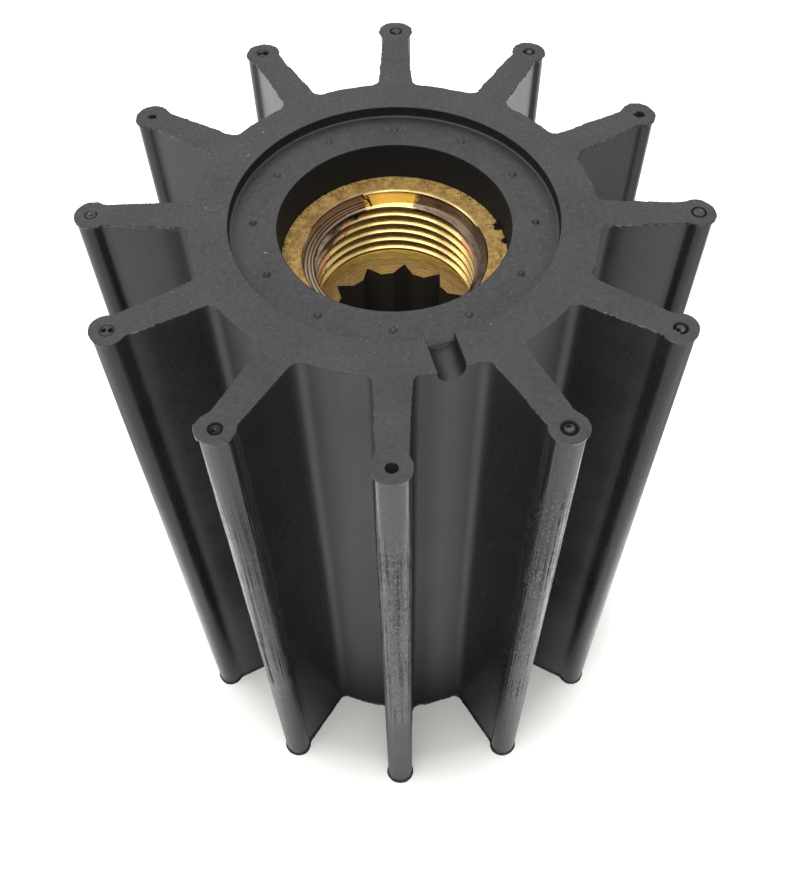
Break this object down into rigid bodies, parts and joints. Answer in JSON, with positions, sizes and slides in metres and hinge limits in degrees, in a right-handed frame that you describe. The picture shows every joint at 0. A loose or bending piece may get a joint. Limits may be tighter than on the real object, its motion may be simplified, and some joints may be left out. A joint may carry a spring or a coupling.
{
  "type": "rubber pump impeller",
  "caption": "Flexible pump impeller: rubber body with straight bulb-tipped blades, moulded round a splined brass insert that has a puller thread in its upper end.",
  "frame": {"origin": "centre of the lower end face, on the shaft axis, at the lowest point", "axes": "+Z along the shaft axis towards the end with the puller thread; blade 0 points along +Y"},
  "size_m": [0.095, 0.095, 0.12],
  "materials": {
    "rubber": "matte moulded rubber, slightly dusty on the end faces",
    "brass": "turned and broached, with brown tarnish in places"
  },
  "bodies": {
    "root": {"rubber_body": "rubber", "brass_insert": "brass"}
  },
  "joints": []
}
